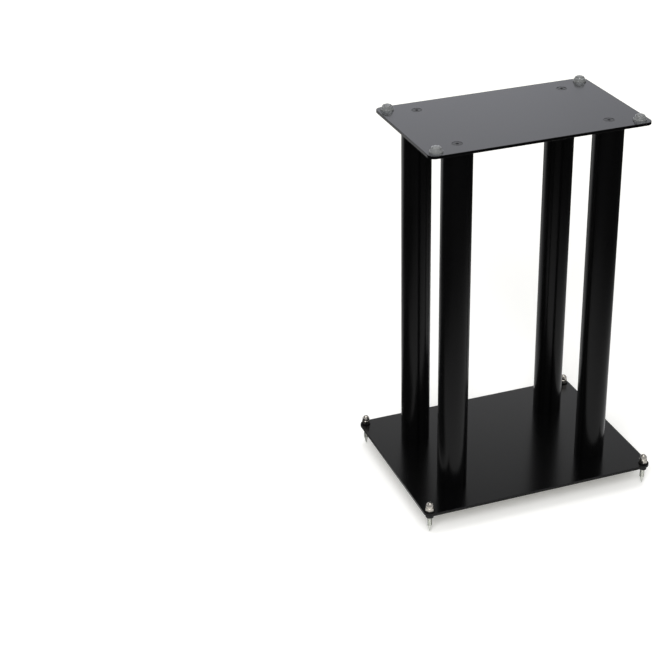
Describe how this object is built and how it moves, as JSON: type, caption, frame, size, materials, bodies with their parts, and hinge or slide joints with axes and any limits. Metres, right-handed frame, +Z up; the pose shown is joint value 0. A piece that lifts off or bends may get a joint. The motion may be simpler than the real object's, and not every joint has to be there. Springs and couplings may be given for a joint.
{
  "type": "speaker stand",
  "caption": "Loudspeaker stand: round columns carry a top plate with clear bumper pads above a wider base plate on levelling spikes.",
  "frame": {"origin": "on the floor, midway between the tips of the spikes", "axes": "+Z up, +X to the right for someone facing the front, -Y out of the front edge"},
  "size_m": [0.418, 0.314, 0.665],
  "materials": {
    "satin_black_plate": "satin black powder coat",
    "satin_black_tube": "satin black powder coat",
    "plain_steel": "turned steel",
    "black_screw": "black oxide",
    "bright_chrome": "polished chrome",
    "black_zinc": "black zinc",
    "clear_rubber": "clear polyurethane"
  },
  "bodies": {
    "stand": {"base_plate": "satin_black_plate", "top_plate": "satin_black_plate", "column_front_left": "satin_black_tube", "lower_plug_front_left": "plain_steel", "upper_plug_front_left": "plain_steel", "base_screw_front_left": "black_screw", "top_screw_front_left": "black_screw", "lock_nut_front_left": "black_zinc", "washer_front_left": "black_zinc", "dome_nut_front_left": "bright_chrome", "pad_front_left": "clear_rubber", "column_front_right": "satin_black_tube", "lower_plug_front_right": "plain_steel", "upper_plug_front_right": "plain_steel", "base_screw_front_right": "black_screw", "top_screw_front_right": "black_screw", "lock_nut_front_right": "black_zinc", "washer_front_right": "black_zinc", "dome_nut_front_right": "bright_chrome", "pad_front_right": "clear_rubber", "column_rear_left": "satin_black_tube", "lower_plug_rear_left": "plain_steel", "upper_plug_rear_left": "plain_steel", "base_screw_rear_left": "black_screw", "top_screw_rear_left": "black_screw", "lock_nut_rear_left": "black_zinc", "washer_rear_left": "black_zinc", "dome_nut_rear_left": "bright_chrome", "pad_rear_left": "clear_rubber", "column_rear_right": "satin_black_tube", "lower_plug_rear_right": "plain_steel", "upper_plug_rear_right": "plain_steel", "base_screw_rear_right": "black_screw", "top_screw_rear_right": "black_screw", "lock_nut_rear_right": "black_zinc", "washer_rear_right": "black_zinc", "dome_nut_rear_right": "bright_chrome", "pad_rear_right": "clear_rubber"},
    "spike_front_left": {"spike_front_left": "bright_chrome"},
    "spike_front_right": {"spike_front_right": "bright_chrome"},
    "spike_rear_left": {"spike_rear_left": "bright_chrome"},
    "spike_rear_right": {"spike_rear_right": "bright_chrome"}
  },
  "joints": [
    {"name": "level_front_left", "type": "slide", "parent": "stand", "child": "spike_front_left", "axis": [0, 0, -1], "range_m": [-0.003, 0.003]},
    {"name": "level_front_right", "type": "slide", "parent": "stand", "child": "spike_front_right", "axis": [0, 0, -1], "range_m": [-0.003, 0.003]},
    {"name": "level_rear_left", "type": "slide", "parent": "stand", "child": "spike_rear_left", "axis": [0, 0, -1], "range_m": [-0.003, 0.003]},
    {"name": "level_rear_right", "type": "slide", "parent": "stand", "child": "spike_rear_right", "axis": [0, 0, -1], "range_m": [-0.003, 0.003]}
  ]
}
